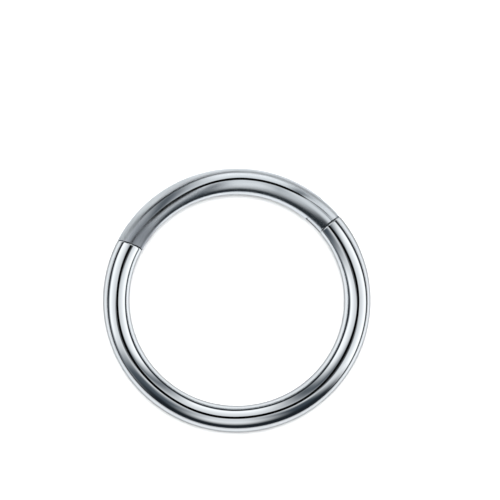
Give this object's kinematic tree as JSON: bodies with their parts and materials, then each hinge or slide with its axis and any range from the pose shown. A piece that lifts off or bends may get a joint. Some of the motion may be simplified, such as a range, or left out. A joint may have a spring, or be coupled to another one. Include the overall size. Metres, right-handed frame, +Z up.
{
  "type": "septum ring",
  "caption": "Plain polished round-wire piercing ring with a hinged gate that swings outward on a flush pin and clicks shut",
  "frame": {"origin": "middle of the ring's opening, on the surface that the ring lies on", "axes": "+Z up through the ring's opening, +Y through the middle of the gate, +X towards the side with the hinge"},
  "size_m": [0.0122, 0.0122, 0.0012],
  "materials": {
    "body_steel": "mirror polished surgical steel",
    "gate_steel": "mirror polished surgical steel, a little softer than the body",
    "pin_steel": "polished flush with the gate"
  },
  "bodies": {
    "ring": {"ring_body": "body_steel"},
    "swing_gate": {"gate": "gate_steel", "hinge_pin": "pin_steel"}
  },
  "joints": [
    {"name": "gate_hinge", "type": "hinge", "parent": "ring", "child": "swing_gate", "pos_m": [0.00426, 0.00381, 0.0006], "axis": [0, 0, -1], "range_deg": [0, 75]}
  ]
}
